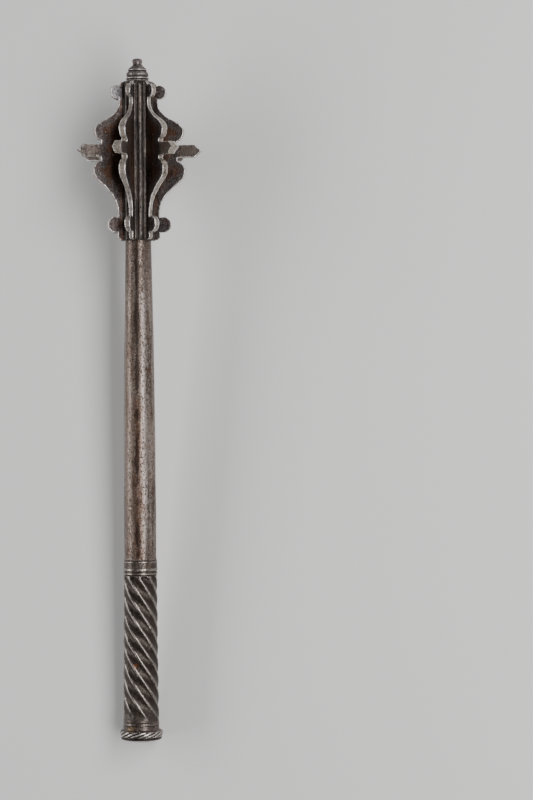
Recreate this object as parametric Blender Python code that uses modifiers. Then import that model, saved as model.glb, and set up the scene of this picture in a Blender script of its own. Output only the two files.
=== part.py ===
"""A flanged iron mace, lying as it rests on a floor. Metres, +Z up.

The mace is modelled upright in its own frame: its axis is +Z, the end of the grip is at height 0, and
the finial is at the top. Seen from -Y, +X is to the right. The empty that holds the pieces then lays
it down, with the head towards +Y, on the points of its two lowest flanges and the rim of its base.
"""

import math

import bmesh
import bpy
from mathutils import Vector

# Gap between two pieces that touch
FIT_GAP = 0.0003

# Base cap: a domed end, a plain edge, a roped rim and a flare up to the grip
DOME_RISE = 0.0033
EDGE_HEIGHT = 0.0013
EDGE_RADIUS = 0.0184
ROPE_HEIGHT = 0.0052
ROPE_TOP_RADIUS = 0.0188
ROPE_BULGE = 0.0007
ROPE_STRANDS = 16
ROPE_DEPTH = 0.0012
ROPE_TURN = math.radians(40)
ROPE_EDGE_SHARE = 0.01
FLARE_HEIGHT = 0.0047

# Grip: concave flutes that wind up it as a left-hand screw
GRIP_LENGTH = 0.1304
GRIP_LOWER_RADIUS = 0.0160
GRIP_UPPER_RADIUS = 0.0149
FLUTES = 9
FLUTE_PITCH = 0.1300
FLUTE_DEPTH = 0.0012
FLUTE_END_LENGTH = 0.0055

# Mouldings of the two collars: engraved lines, fillets, a bead and a plain band
LINE_WIDTH = 0.0009
LINE_DEPTH = 0.0005
FILLET_WIDTH = 0.0013
FILLET_RISE = 0.0002
BEAD_WIDTH = 0.0027
BEAD_RISE = 0.0004
BAND_WIDTH = 0.0049

# Haft: a tapered tube, closed at both ends, so it is solid here
HAFT_LENGTH = 0.2850
HAFT_LOWER_RADIUS = 0.0143
HAFT_UPPER_RADIUS = 0.01135
HAFT_TAPER = 2.4

# Head: flanges set on the haft by hand, so not quite evenly, with a moulded strip between each two
FLANGES = 7
FLANGE_OFFSETS = (math.radians(0.8), math.radians(3.6), 0, 0, 0, 0, math.radians(2))
HEAD_LENGTH = 0.1416
FLANGE_ROOT_THICKNESS = 0.0029
FLANGE_TIP_THICKNESS = 0.0074
STRIP_THICKNESS = 0.0020
STRIP_GROOVE_WIDTH = 0.0009
STRIP_FILLET_RISE = 0.0010
RIB_WIDTH = 0.0040
RIB_RISE = 0.0017
STRIP_TOP_DROP = 0.0055
STRIP_TOP_ROUND = 0.0030

# Flange outline: radii from the axis of the mace, heights from the foot of the head
FOOT_RADIUS = 0.0195
FOOT_CHAMFER = 0.0006
FOOT_SLOPE = 0.0013
LOWER_DISC_RADIUS = 0.0070
LOWER_DISC_REACH = 0.0294
LOWER_DISC_HEIGHT = 0.0138
WAIST_RADIUS = 0.0193
WAIST_HEIGHT = 0.0260
SPIKE_HEIGHT = 0.0791
SPIKE_WIDTH = 0.0110
SPIKE_REACH = 0.0573
SPIKE_SHOULDER = 0.0512
NOTCH_RADIUS = 0.0352
NOTCH_WIDTH = 0.0040
NOTCH_DEPTH = 0.0012
LOWER_LOBE_REACH = 0.0424
LOWER_LOBE_DROP = 0.0177
UPPER_LOBE_REACH = 0.0414
UPPER_LOBE_RISE = 0.0176
NECK_RADIUS = 0.0180
NECK_LENGTH = 0.0036
UPPER_DISC_RADIUS = 0.0061
UPPER_DISC_REACH = 0.0259
UPPER_DISC_DROP = 0.0097
SHOULDER_RADIUS = 0.0173
FLANGE_TOP_RADIUS = 0.0121

# Finial: a button on a bell, over two rings
BUTTON_RADIUS = 0.0046
BUTTON_HEIGHT = 0.0050
FINIAL_NECK_RADIUS = 0.0041
BELL_RADIUS = 0.0088
BELL_HEIGHT = 0.0069
UPPER_RING_RADIUS = 0.0101
UPPER_RING_HEIGHT = 0.0052
LOWER_RING_RADIUS = 0.0104
LOWER_RING_HEIGHT = 0.0029
RING_GROOVE_WIDTH = 0.0004
RING_GROOVE_DEPTH = 0.0006

# Facets
SHARP_EDGE = math.radians(30)
ON_AXIS = 0.0001
COLUMNS_PER_FLUTE = 4
GRIP_ROWS = 18
HAFT_ROWS = 8
COLUMNS_PER_STRAND = 4
FINIAL_COLUMNS = 24
CURVE_STEPS = 5
DISC_STEPS = 10

# Finish of the iron, from the darkest patina to the handled metal
IRON_METALLIC = 0.9
FLANGE_BROWN = (0.042, 0.029, 0.023, 1.0)
FLANGE_ROUGHNESS = 0.55
STRIP_BLUE_GREY = (0.085, 0.087, 0.090, 1.0)
STRIP_ROUGHNESS = 0.45
FINIAL_GREY = (0.110, 0.100, 0.095, 1.0)
FINIAL_ROUGHNESS = 0.42
HAFT_GREY = (0.160, 0.135, 0.115, 1.0)
HAFT_ROUGHNESS = 0.42
BASE_GREY = (0.180, 0.155, 0.140, 1.0)
BASE_ROUGHNESS = 0.40

# Heights along the mace, worked out from the sizes above
ROPE_FOOT = DOME_RISE + EDGE_HEIGHT
ROPE_TOP = ROPE_FOOT + ROPE_HEIGHT
BASE_HEIGHT = ROPE_TOP + FLARE_HEIGHT
HAFT_FOOT = BASE_HEIGHT + FIT_GAP
GRIP_FOOT = HAFT_FOOT + 2 * LINE_WIDTH + FILLET_WIDTH
GRIP_TOP = GRIP_FOOT + GRIP_LENGTH
COLLAR_HEIGHT = 4 * LINE_WIDTH + 2 * FILLET_WIDTH + BEAD_WIDTH + BAND_WIDTH
COLLAR_TOP = GRIP_TOP + COLLAR_HEIGHT
HEAD_FOOT = COLLAR_TOP + HAFT_LENGTH
HEAD_TOP = HEAD_FOOT + HEAD_LENGTH
FINIAL_FOOT = HEAD_TOP + FIT_GAP
HEAD_INNER_RADIUS = HAFT_UPPER_RADIUS + FIT_GAP


def clear_scene():
    for thing in list(bpy.data.objects):
        bpy.data.objects.remove(thing)


def iron(name, colour, roughness):
    material = bpy.data.materials.new(name)
    material.use_nodes = True
    shader = material.node_tree.nodes["Principled BSDF"]
    shader.inputs["Base Color"].default_value = colour
    shader.inputs["Metallic"].default_value = IRON_METALLIC
    shader.inputs["Roughness"].default_value = roughness
    return material


def add_object(name, data, collection, axis):
    thing = bpy.data.objects.new(name, data)
    collection.objects.link(thing)
    thing.parent = axis
    return thing


def shade(mesh):
    mesh.shade_smooth()
    mesh.set_sharp_from_angle(angle=SHARP_EDGE)


def curve_to(start, first, second, end, steps):
    """Points on a cubic curve, after its start and up to its end."""
    points = []
    for step in range(1, steps + 1):
        t = step / steps
        s = 1 - t
        weights = (s * s * s, 3 * s * s * t, 3 * s * t * t, t * t * t)
        corners = (start, first, second, end)
        points.append(tuple(sum(w * c[i] for w, c in zip(weights, corners)) for i in (0, 1)))
    return points


def turned_mesh(name, profile, columns):
    """A solid of revolution about Z. The profile runs from the top of the axis to its foot."""
    line = bpy.data.meshes.new(name + "_profile")
    corners = [(radius, 0, height) for radius, height in profile]
    line.from_pydata(corners, [(i, i + 1) for i in range(len(corners) - 1)], [])
    turning = bpy.data.objects.new(name + "_turning", line)
    bpy.context.scene.collection.objects.link(turning)
    screw = turning.modifiers.new("turn", "SCREW")
    screw.steps = screw.render_steps = columns
    screw.use_merge_vertices = True
    screw.merge_threshold = 0.00001
    evaluated = turning.evaluated_get(bpy.context.evaluated_depsgraph_get())
    mesh = bpy.data.meshes.new_from_object(evaluated)
    mesh.name = name
    bpy.data.objects.remove(turning)
    return mesh


def carve_and_twist(mesh, depth_at, turn_at):
    """Sinks each vertex by depth_at(angle, height), then turns it about Z by turn_at(height)."""
    for vertex in mesh.vertices:
        x, y, height = vertex.co
        if math.hypot(x, y) < ON_AXIS:
            continue
        angle = math.atan2(y, x)
        radius = math.hypot(x, y) - depth_at(angle, height)
        angle += turn_at(height)
        vertex.co = (radius * math.cos(angle), radius * math.sin(angle), height)
    mesh.update()


def moulding(top, width, rise, radius, steps):
    """A bead, or a line where the rise is below 0, as profile points under its top edge."""
    points = []
    for step in range(1, steps + 1):
        share = step / steps
        points.append((radius + rise * math.sin(math.pi * share), top - width * share))
    return points


def fillet(top, radius):
    """A flat raised ring, as profile points under its top edge."""
    inset = FILLET_WIDTH * 0.15
    raised = radius + FILLET_RISE
    foot = top - FILLET_WIDTH
    return [(raised, top - inset), (raised, foot + inset), (radius, foot)]


def grip_radius(height):
    share = (height - GRIP_FOOT) / GRIP_LENGTH
    return GRIP_LOWER_RADIUS + (GRIP_UPPER_RADIUS - GRIP_LOWER_RADIUS) * share


def haft_profile():
    points = [(0, HEAD_TOP), (HAFT_UPPER_RADIUS, HEAD_TOP)]
    for row in range(HAFT_ROWS + 1):
        share = 1 - row / HAFT_ROWS
        radius = HAFT_LOWER_RADIUS - (HAFT_LOWER_RADIUS - HAFT_UPPER_RADIUS) * share**HAFT_TAPER
        points.append((radius, COLLAR_TOP + HAFT_LENGTH * share))

    # The collar over the grip: a line, a fillet, a line, a band, a bead, a line, a fillet and a line
    radius = GRIP_UPPER_RADIUS
    points += moulding(COLLAR_TOP, LINE_WIDTH, -LINE_DEPTH, radius, 2)
    points += fillet(points[-1][1], radius)
    points += moulding(points[-1][1], LINE_WIDTH, -LINE_DEPTH, radius, 2)
    points.append((radius, points[-1][1] - BAND_WIDTH))
    points += moulding(points[-1][1], BEAD_WIDTH, BEAD_RISE, radius, 4)
    points += moulding(points[-1][1], LINE_WIDTH, -LINE_DEPTH, radius, 2)
    points += fillet(points[-1][1], radius)
    points += moulding(points[-1][1], LINE_WIDTH, -LINE_DEPTH, radius, 2)

    # The fluted grip, with closer rows where the flutes run out
    plain = GRIP_LENGTH - 2 * FLUTE_END_LENGTH
    drops = [FLUTE_END_LENGTH * share for share in (0.12, 0.45, 1)]
    drops += [FLUTE_END_LENGTH + plain * row / GRIP_ROWS for row in range(1, GRIP_ROWS)]
    drops += [GRIP_LENGTH - FLUTE_END_LENGTH * share for share in (1, 0.45, 0.12, 0)]
    points += [(grip_radius(GRIP_TOP - drop), GRIP_TOP - drop) for drop in drops]

    # The foot of the grip: a line, a fillet and a line
    radius = GRIP_LOWER_RADIUS
    points += moulding(GRIP_FOOT, LINE_WIDTH, -LINE_DEPTH, radius, 2)
    points += fillet(points[-1][1], radius)
    points += moulding(points[-1][1], LINE_WIDTH, -LINE_DEPTH, radius, 2)
    points.append((0, HAFT_FOOT))
    return points


def flute_depth(angle, height):
    """How deep the flutes are: hollow between two ridges, and rounded off at both ends."""
    inside = min(height - GRIP_FOOT, GRIP_TOP - height)
    if inside <= 0:
        return 0
    run_in = min(1, inside / FLUTE_END_LENGTH)
    across = angle * FLUTES / (2 * math.pi) % 1
    return FLUTE_DEPTH * math.sqrt(1 - (1 - run_in) ** 2) * (1 - (2 * across - 1) ** 2)


def flute_turn(height):
    climbed = min(GRIP_LENGTH, max(0, height - GRIP_FOOT))
    return -2 * math.pi * climbed / FLUTE_PITCH


def make_haft(collection, axis):
    mesh = turned_mesh("haft", haft_profile(), FLUTES * COLUMNS_PER_FLUTE)
    carve_and_twist(mesh, flute_depth, flute_turn)
    shade(mesh)
    mesh.materials.append(iron("haft_iron", HAFT_GREY, HAFT_ROUGHNESS))
    add_object("haft", mesh, collection, axis)


def base_profile():
    """From the flat top, down the flare and the rope, round the plain edge and over the dome."""
    grip_edge = (GRIP_LOWER_RADIUS, BASE_HEIGHT)
    rope_top = (ROPE_TOP_RADIUS, ROPE_TOP)
    flare_bend = (GRIP_LOWER_RADIUS, ROPE_TOP + 0.25 * FLARE_HEIGHT)
    points = [(0, BASE_HEIGHT), grip_edge]
    points += curve_to(grip_edge, flare_bend, flare_bend, rope_top, 4)
    for step in range(1, 6):
        share = step / 5
        plain = ROPE_TOP_RADIUS + (EDGE_RADIUS - ROPE_TOP_RADIUS) * share
        points.append((plain + ROPE_BULGE * math.sin(math.pi * share), ROPE_TOP - ROPE_HEIGHT * share))
    rim_foot = (EDGE_RADIUS, DOME_RISE)
    dome_bend = (0.6 * EDGE_RADIUS, 0)
    points.append(rim_foot)
    points += curve_to(rim_foot, dome_bend, dome_bend, (0, 0), 3)
    return points


def rope_rise(height):
    return min(1, max(0, (height - ROPE_FOOT) / ROPE_HEIGHT))


def rope_depth(angle, height):
    """How far the grooves between the strands are cut in. Both edges of the rope stay round."""
    share = rope_rise(height)
    if min(share, 1 - share) < ROPE_EDGE_SHARE:
        return 0
    across = angle * ROPE_STRANDS / (2 * math.pi) % 1
    return ROPE_DEPTH * (1 - math.sin(math.pi * across))


def make_base_cap(collection, axis):
    mesh = turned_mesh("base_cap", base_profile(), ROPE_STRANDS * COLUMNS_PER_STRAND)
    carve_and_twist(mesh, rope_depth, lambda height: ROPE_TURN * rope_rise(height))
    shade(mesh)
    mesh.materials.append(iron("base_iron", BASE_GREY, BASE_ROUGHNESS))
    add_object("base_cap", mesh, collection, axis)


def flange_direction(number):
    """Angle of a flange about Z. The first points to -Y, which is up once the mace lies down."""
    even = 2 * math.pi * number / FLANGES - math.pi / 2
    return even + FLANGE_OFFSETS[number % FLANGES]


def disc_arc(centre, radius, start_radius, end_radius):
    """The outer edge of a disc, from start_radius below its centre to end_radius above it."""
    start = -math.acos((start_radius - centre[0]) / radius)
    end = math.acos((end_radius - centre[0]) / radius)
    points = []
    for step in range(DISC_STEPS + 1):
        angle = start + (end - start) * step / DISC_STEPS
        points.append((centre[0] + radius * math.cos(angle), centre[1] + radius * math.sin(angle)))
    return points


def lower_wing(lobe_height, lobe_end):
    """From the waist out along an S-shaped edge to the lower lobe, and in to the notch over it."""
    waist = (WAIST_RADIUS, WAIST_HEIGHT)
    spread = LOWER_LOBE_REACH - WAIST_RADIUS
    swing = lobe_height - WAIST_HEIGHT

    def at(out, up):
        return (WAIST_RADIUS + out * spread, WAIST_HEIGHT + up * swing)

    points = [waist]
    points += curve_to(waist, at(0.06, 0.3), at(0.28, 0.45), at(0.6, 0.64), CURVE_STEPS)
    points += curve_to(at(0.6, 0.64), at(0.82, 0.74), at(1, 0.84), at(1, 1), CURVE_STEPS)
    rise = lobe_end[1] - lobe_height
    curl = (LOWER_LOBE_REACH, lobe_height + 0.5 * rise)
    curl_in = (lobe_end[0] + 0.55 * (LOWER_LOBE_REACH - lobe_end[0]), lobe_end[1] - 0.1 * rise)
    points += curve_to(at(1, 1), curl, curl_in, lobe_end, CURVE_STEPS)
    return points


def upper_wing(lobe_height, lobe_start, neck_height):
    """From the notch out round the upper lobe, and in along an S-shaped edge to the neck."""
    lobe = (UPPER_LOBE_REACH, lobe_height)
    rise = lobe_height - lobe_start[1]
    curl_out = (lobe_start[0] + 0.5 * (UPPER_LOBE_REACH - lobe_start[0]), lobe_start[1] + 0.1 * rise)
    curl = (UPPER_LOBE_REACH, lobe_height - 0.5 * rise)
    points = curve_to(lobe_start, curl_out, curl, lobe, CURVE_STEPS)
    spread = UPPER_LOBE_REACH - NECK_RADIUS
    swing = neck_height - lobe_height

    def at(out, up):
        return (NECK_RADIUS + out * spread, lobe_height + up * swing)

    points += curve_to(lobe, at(1, 0.17), at(0.77, 0.3), at(0.52, 0.42), CURVE_STEPS)
    points += curve_to(at(0.52, 0.42), at(0.27, 0.54), at(0, 0.74), at(0, 1), CURVE_STEPS)
    return points


def notch(start, width):
    """A round hollow cut in towards the axis, from its lower corner up."""
    deepest = start[0] - NOTCH_DEPTH / 0.75
    low_bend = (deepest, start[1] + 0.1 * width)
    high_bend = (deepest, start[1] + 0.9 * width)
    return curve_to(start, low_bend, high_bend, (start[0], start[1] + width), 4)


def flange_outline():
    """(radius, height) points round a flange, from the foot of its root outwards and up."""
    lower_disc = (LOWER_DISC_REACH - LOWER_DISC_RADIUS, LOWER_DISC_HEIGHT)
    upper_disc = (UPPER_DISC_REACH - UPPER_DISC_RADIUS, HEAD_LENGTH - UPPER_DISC_DROP)
    spike_low = SPIKE_HEIGHT - SPIKE_WIDTH / 2
    spike_high = SPIKE_HEIGHT + SPIKE_WIDTH / 2
    neck_top = upper_disc[1] - math.sqrt(UPPER_DISC_RADIUS**2 - (upper_disc[0] - NECK_RADIUS) ** 2)

    points = [
        (HEAD_INNER_RADIUS, 0),
        (FOOT_RADIUS - FOOT_CHAMFER, FOOT_SLOPE),
        (FOOT_RADIUS, FOOT_SLOPE + FOOT_CHAMFER),
    ]
    points += disc_arc(lower_disc, LOWER_DISC_RADIUS, FOOT_RADIUS, WAIST_RADIUS)
    lower_notch = (NOTCH_RADIUS + NOTCH_DEPTH, spike_low - NOTCH_WIDTH)
    points += lower_wing(SPIKE_HEIGHT - LOWER_LOBE_DROP, lower_notch)
    points += notch(lower_notch, NOTCH_WIDTH)
    points += [(SPIKE_SHOULDER, spike_low), (SPIKE_REACH, SPIKE_HEIGHT), (SPIKE_SHOULDER, spike_high)]
    spike_root = (NOTCH_RADIUS + NOTCH_DEPTH, spike_high)
    points.append(spike_root)
    points += notch(spike_root, NOTCH_WIDTH)
    lobe_height = SPIKE_HEIGHT + UPPER_LOBE_RISE
    points += upper_wing(lobe_height, points[-1], neck_top - NECK_LENGTH)
    points += disc_arc(upper_disc, UPPER_DISC_RADIUS, NECK_RADIUS, SHOULDER_RADIUS)

    # The quarter-round shoulder over the upper disc
    start = points[-1]
    end = (FLANGE_TOP_RADIUS, HEAD_LENGTH)
    bulge = (SHOULDER_RADIUS, start[1] + 0.4 * (HEAD_LENGTH - start[1]))
    bulge_in = (FLANGE_TOP_RADIUS + 0.4 * (SHOULDER_RADIUS - FLANGE_TOP_RADIUS), HEAD_LENGTH)
    points += curve_to(start, bulge, bulge_in, end, 3)
    points.append((HEAD_INNER_RADIUS, HEAD_LENGTH))
    return points


def flange_thickness(radius):
    """A flange grows thicker from its root to the end of its spike."""
    share = (radius - HEAD_INNER_RADIUS) / (SPIKE_REACH - HEAD_INNER_RADIUS)
    return FLANGE_ROOT_THICKNESS + (FLANGE_TIP_THICKNESS - FLANGE_ROOT_THICKNESS) * share


def flange_mesh():
    """The plate that all flanges share: X runs out from the mace's axis, and Y up along it."""
    outline = flange_outline()
    curve = bpy.data.curves.new("flange_outline", "CURVE")
    curve.dimensions = "2D"
    curve.fill_mode = "BOTH"
    curve.extrude = 0.5
    edge = curve.splines.new("POLY")
    edge.points.add(len(outline) - 1)
    for point, (radius, height) in zip(edge.points, outline):
        point.co = (radius, height, 0, 1)
    edge.use_cyclic_u = True
    plate = bpy.data.objects.new("flange_plate", curve)
    mesh = bpy.data.meshes.new_from_object(plate)
    mesh.name = "flange"
    bpy.data.objects.remove(plate)
    for vertex in mesh.vertices:
        vertex.co.z *= flange_thickness(vertex.co.x)
    shape = bmesh.new()
    shape.from_mesh(mesh)
    bmesh.ops.remove_doubles(shape, verts=shape.verts, dist=ON_AXIS / 10)
    shape.to_mesh(mesh)
    shape.free()
    return mesh


def make_flanges(collection, axis):
    mesh = flange_mesh()
    mesh.materials.append(iron("flange_iron", FLANGE_BROWN, FLANGE_ROUGHNESS))
    for number in range(FLANGES):
        flange = add_object(f"flange_{number + 1}", mesh, collection, axis)
        flange.location = (0, 0, HEAD_FOOT)
        flange.rotation_euler = (math.pi / 2, 0, flange_direction(number))


def strip_side(radius, sector):
    """How far a strip reaches across, to a gap beside the flange, at a distance out from the axis.

    The sector is the angle from the middle of the strip to the middle of a flange beside it.
    """
    ledge = HEAD_INNER_RADIUS + STRIP_THICKNESS + STRIP_FILLET_RISE
    beside = flange_thickness(ledge) / 2 + FIT_GAP
    return radius * math.tan(sector) - beside / math.cos(sector)


def strip_outline(sector):
    """Section of a strip: X runs out from the mace's axis, and Y across the strip."""
    floor = HEAD_INNER_RADIUS + STRIP_THICKNESS
    ledge = floor + STRIP_FILLET_RISE
    ledge_edge = strip_side(ledge, sector)
    groove_edge = RIB_WIDTH / 2 + STRIP_GROOVE_WIDTH
    rib = [(floor + RIB_RISE * math.cos(a), RIB_WIDTH / 2 * math.sin(a)) for a in (0.52, 1.05)]
    outer = rib + [(floor, RIB_WIDTH / 2), (floor, groove_edge), (ledge, groove_edge)]
    outer.append((ledge, ledge_edge))
    crest = [(floor + RIB_RISE, 0)]
    mirrored = [(radius, -across) for radius, across in reversed(outer)]
    beside = flange_thickness(ledge) / 2 + FIT_GAP
    corner = sector - math.asin(beside / HEAD_INNER_RADIUS)
    inner = []
    for share in (1, 0.5, 0, -0.5, -1):
        angle = corner * share
        inner.append((HEAD_INNER_RADIUS * math.cos(angle), HEAD_INNER_RADIUS * math.sin(angle)))
    return mirrored + crest + outer + inner


def strip_mesh(sector):
    """A strip drawn up from its section, and rounded off towards the finial at its top."""
    shape = bmesh.new()
    top = shape.faces.new([shape.verts.new((x, y, 0)) for x, y in strip_outline(sector)])
    crest = HEAD_INNER_RADIUS + STRIP_THICKNESS + RIB_RISE
    for degrees in (0, 35, 65, 90):
        turn = math.radians(degrees)
        height = HEAD_LENGTH - STRIP_TOP_DROP * (1 - math.sin(turn))
        widest = crest - STRIP_TOP_ROUND * (1 - math.cos(turn))
        grown = bmesh.ops.extrude_face_region(shape, geom=[top])
        if height > HEAD_LENGTH - STRIP_TOP_DROP:
            shape.faces.remove(top)
        top = next(part for part in grown["geom"] if isinstance(part, bmesh.types.BMFace))
        for vertex in top.verts:
            out = min(vertex.co.x, widest)
            reach = max(strip_side(out, sector), 0)
            across = max(-reach, min(reach, vertex.co.y))
            vertex.co = (out, across, height)
    bmesh.ops.recalc_face_normals(shape, faces=shape.faces)
    mesh = bpy.data.meshes.new("rib_strip")
    shape.to_mesh(mesh)
    shape.free()
    shade(mesh)
    return mesh


def make_strips(collection, axis):
    material = iron("strip_iron", STRIP_BLUE_GREY, STRIP_ROUGHNESS)
    for number in range(FLANGES):
        start = flange_direction(number)
        sector = (flange_direction(number + 1) - start) % (2 * math.pi) / 2
        mesh = strip_mesh(sector)
        mesh.materials.append(material)
        strip = add_object(f"rib_strip_{number + 1}", mesh, collection, axis)
        strip.location = (0, 0, HEAD_FOOT)
        strip.rotation_euler = (0, 0, start + sector)


def finial_profile():
    """From the top of the button down to the foot of the lower ring."""
    lower_ring_top = FINIAL_FOOT + LOWER_RING_HEIGHT
    upper_ring_foot = lower_ring_top + RING_GROOVE_WIDTH
    upper_ring_top = upper_ring_foot + UPPER_RING_HEIGHT
    bell_foot = upper_ring_top + RING_GROOVE_WIDTH
    neck = bell_foot + BELL_HEIGHT
    top = neck + BUTTON_HEIGHT
    bell_groove = BELL_RADIUS - RING_GROOVE_DEPTH
    ring_groove = UPPER_RING_RADIUS - RING_GROOVE_DEPTH
    widest = (BUTTON_RADIUS, top - 0.5 * BUTTON_HEIGHT)

    points = [(0, top)]
    points += curve_to((0, top), (0.7 * BUTTON_RADIUS, top), (BUTTON_RADIUS, top), widest, 4)
    neck_edge = (FINIAL_NECK_RADIUS, neck)
    points += curve_to(widest, (BUTTON_RADIUS, neck), neck_edge, neck_edge, 2)
    bell_edge = (BELL_RADIUS, bell_foot + 0.08 * BELL_HEIGHT)
    flare = (FINIAL_NECK_RADIUS, neck - 0.5 * BELL_HEIGHT)
    swell = (BELL_RADIUS, bell_foot + 0.4 * BELL_HEIGHT)
    points += curve_to(neck_edge, flare, swell, bell_edge, 6)
    points += [(bell_groove, bell_foot), (bell_groove, upper_ring_top)]
    ring_edge = (UPPER_RING_RADIUS, upper_ring_foot + 0.3 * UPPER_RING_HEIGHT)
    ring_bulge = (UPPER_RING_RADIUS, upper_ring_top - 0.2 * UPPER_RING_HEIGHT)
    points += curve_to((bell_groove, upper_ring_top), ring_bulge, ring_bulge, ring_edge, 3)
    points += [
        (UPPER_RING_RADIUS, upper_ring_foot + 0.05 * UPPER_RING_HEIGHT),
        (ring_groove, upper_ring_foot),
        (ring_groove, lower_ring_top),
    ]
    points += moulding(lower_ring_top, LOWER_RING_HEIGHT, LOWER_RING_RADIUS - ring_groove, ring_groove, 4)
    points.append((0, FINIAL_FOOT))
    return points


def make_finial(collection, axis):
    mesh = turned_mesh("finial", finial_profile(), FINIAL_COLUMNS)
    shade(mesh)
    mesh.materials.append(iron("finial_iron", FINIAL_GREY, FINIAL_ROUGHNESS))
    add_object("finial", mesh, collection, axis)


def world_corners(things):
    bpy.context.view_layer.update()
    graph = bpy.context.evaluated_depsgraph_get()
    corners = []
    for thing in things:
        evaluated = thing.evaluated_get(graph)
        mesh = evaluated.to_mesh()
        corners += [evaluated.matrix_world @ vertex.co for vertex in mesh.vertices]
        evaluated.to_mesh_clear()
    return corners


def lay_down(collection, axis):
    """Tilts the mace until its base and its lowest spikes stand equally low, then centres it."""
    pieces = [thing for thing in collection.objects if thing.type != "EMPTY"]
    base = [thing for thing in pieces if thing.name == "base_cap"]
    head = [thing for thing in pieces if thing.name.startswith("flange")]
    tilt = 0
    for _ in range(4):
        axis.rotation_euler = (tilt - math.pi / 2, 0, 0)
        lowest_base = min(world_corners(base), key=lambda corner: corner.z)
        lowest_head = min(world_corners(head), key=lambda corner: corner.z)
        tilt -= math.atan2(lowest_head.z - lowest_base.z, lowest_head.y - lowest_base.y)
    corners = world_corners(pieces)
    low = Vector([min(corner[side] for corner in corners) for side in range(3)])
    high = Vector([max(corner[side] for corner in corners) for side in range(3)])
    axis.location = (-(low.x + high.x) / 2, -(low.y + high.y) / 2, -low.z)


def main():
    clear_scene()
    collection = bpy.data.collections.new("mace")
    bpy.context.scene.collection.children.link(collection)
    axis = bpy.data.objects.new("mace_axis", None)
    collection.objects.link(axis)
    make_base_cap(collection, axis)
    make_haft(collection, axis)
    make_flanges(collection, axis)
    make_strips(collection, axis)
    make_finial(collection, axis)
    lay_down(collection, axis)


main()
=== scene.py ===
"""The finish of a flanged iron mace that lies on a floor. Metres, +Z up.

Every piece is modelled in the mace's own frame, as its solid is: the axis is +Z, the end of the grip is
at height 0, the finial is at the top, and -Y is up once the mace lies down. The main sizes are those of
the solids, and each piece then gets the detail that a solid leaves out: crisp mouldings, worn and nicked
edges, dents, and an iron finish that is dark in the hollows and bright where hands have rubbed it. The
haft's colour also holds painted reflections of the lights, a painted highlight and painted shade.
"""

import math

import bpy
import numpy as np
from mathutils import Matrix, Vector
from mathutils.geometry import delaunay_2d_cdt


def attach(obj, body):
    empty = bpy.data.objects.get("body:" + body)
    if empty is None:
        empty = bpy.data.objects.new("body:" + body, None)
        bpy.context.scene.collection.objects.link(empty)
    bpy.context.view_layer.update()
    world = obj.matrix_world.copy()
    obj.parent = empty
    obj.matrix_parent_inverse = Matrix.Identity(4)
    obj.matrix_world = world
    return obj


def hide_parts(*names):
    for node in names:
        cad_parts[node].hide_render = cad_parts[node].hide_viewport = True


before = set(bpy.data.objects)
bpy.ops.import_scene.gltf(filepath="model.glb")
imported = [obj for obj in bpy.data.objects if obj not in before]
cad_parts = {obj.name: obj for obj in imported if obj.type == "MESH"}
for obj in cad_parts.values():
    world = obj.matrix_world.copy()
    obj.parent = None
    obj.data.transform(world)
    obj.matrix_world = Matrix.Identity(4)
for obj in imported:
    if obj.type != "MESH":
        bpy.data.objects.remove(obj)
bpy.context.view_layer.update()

FIT_GAP = 0.0003

# Base cap
DOME_RISE = 0.0033
EDGE_HEIGHT = 0.0013
EDGE_RADIUS = 0.0184
ROPE_HEIGHT = 0.0052
ROPE_TOP_RADIUS = 0.0188
ROPE_BULGE = 0.0007
ROPE_STRANDS = 16
ROPE_DEPTH = 0.0012
ROPE_TURN = math.radians(40)
FLARE_HEIGHT = 0.0047

# Curves of the domed end and of the rim round it, as bends given by radius and height
RIM_FOOT = (0.0170, 0.0018)
DOME_CURVE = ((0, 0), (0.0110, 0), (0.0145, 0.0006), RIM_FOOT)
RIM_CURVE = (RIM_FOOT, (0.0178, 0.0021), (EDGE_RADIUS, 0.0027), (EDGE_RADIUS, 0.0036))

# Groove between the rim and the rope, from its lower side up: depth, and drop under the rope's foot
RIM_GROOVE = ((0.0003, 0.0008), (0.0006, 0.0005), (0.0006, 0.0002), (0.0002, 0))

# The domed end is dull but for a thin line
DULL_END_HEIGHT = 0.0034
BRIGHT_LINE_HEIGHT = 0.0017
BRIGHT_LINE_REACH = 0.0009

# Grip and haft
GRIP_LENGTH = 0.1304
GRIP_LOWER_RADIUS = 0.0160
GRIP_UPPER_RADIUS = 0.0149
FLUTES = 9
FLUTE_PITCH = 0.1300
FLUTE_DEPTH = 0.0013
FLUTE_TOP_LENGTH = 0.0034
FLUTE_FOOT_LENGTH = 0.0100
FOOT_COLLAR_HEIGHT = 0.0031
COLLAR_HEIGHT = 0.0138
HAFT_LENGTH = 0.2850
HAFT_LOWER_RADIUS = 0.0143
HAFT_UPPER_RADIUS = 0.01135
HAFT_TAPER = 2.4

# How far the flutes wander about the axis, and how deep the haft's dents and its roughness are
FLUTE_WANDER = 0.018
HAFT_DENTS = 0.00010
HAFT_ROUGHNESS = 0.00005

# A spot of fresh rust on the grip, and a golden tint on the neck of the base: height, direction, reach
RUST_SPOT = (0.0689, math.radians(-87), 0.0034)
GOLDEN_TINT = (0.0130, math.radians(-104), 0.0085)

# A painted dark reflection down the middle of the haft, whole from its foot up and broken up into blots on
# browner iron below
DARK_REFLECTION_DIRECTION = math.radians(-78)
DARK_REFLECTION_HALF_WIDTH = math.radians(9)
BROWN_HALF_WIDTH = 1.7 * DARK_REFLECTION_HALF_WIDTH
DARK_REFLECTION_FOOT = 0.304
DARK_REFLECTION_FADE = 0.020

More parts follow.
